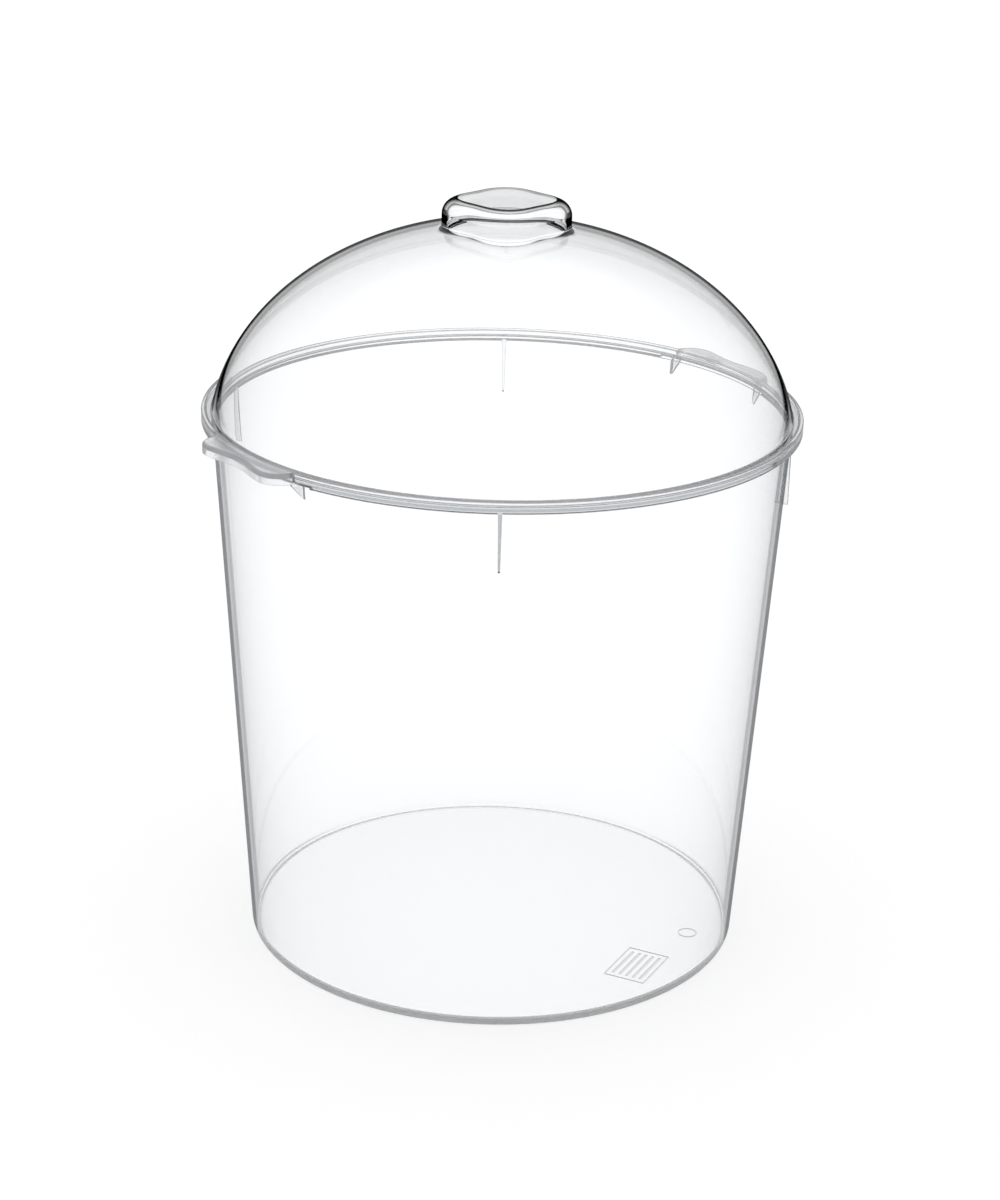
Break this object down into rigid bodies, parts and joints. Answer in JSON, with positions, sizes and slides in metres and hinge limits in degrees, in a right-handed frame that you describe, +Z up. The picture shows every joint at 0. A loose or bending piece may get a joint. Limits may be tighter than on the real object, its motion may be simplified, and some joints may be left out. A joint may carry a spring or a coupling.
{
  "type": "food storage bucket",
  "caption": "Clear tapered round food storage bucket with carrying ears and stacking fins, and a lift-off domed cover with a hollow knob.",
  "frame": {"origin": "centre of the bucket's underside, on the surface it stands on", "axes": "+Z up along the bucket's axis, +X through one carrying ear, -X through the other"},
  "size_m": [0.3696, 0.35, 0.4498],
  "materials": {
    "bucket_plastic": "clear polished polycarbonate",
    "cover_plastic": "clear polished polycarbonate"
  },
  "bodies": {
    "bucket_body": {"bucket": "bucket_plastic"},
    "cover_body": {"dome_cover": "cover_plastic"}
  },
  "joints": [
    {"name": "cover_lift", "type": "slide", "parent": "bucket_body", "child": "cover_body", "axis": [0, 0, 1], "range_m": [0, 0.15]}
  ]
}
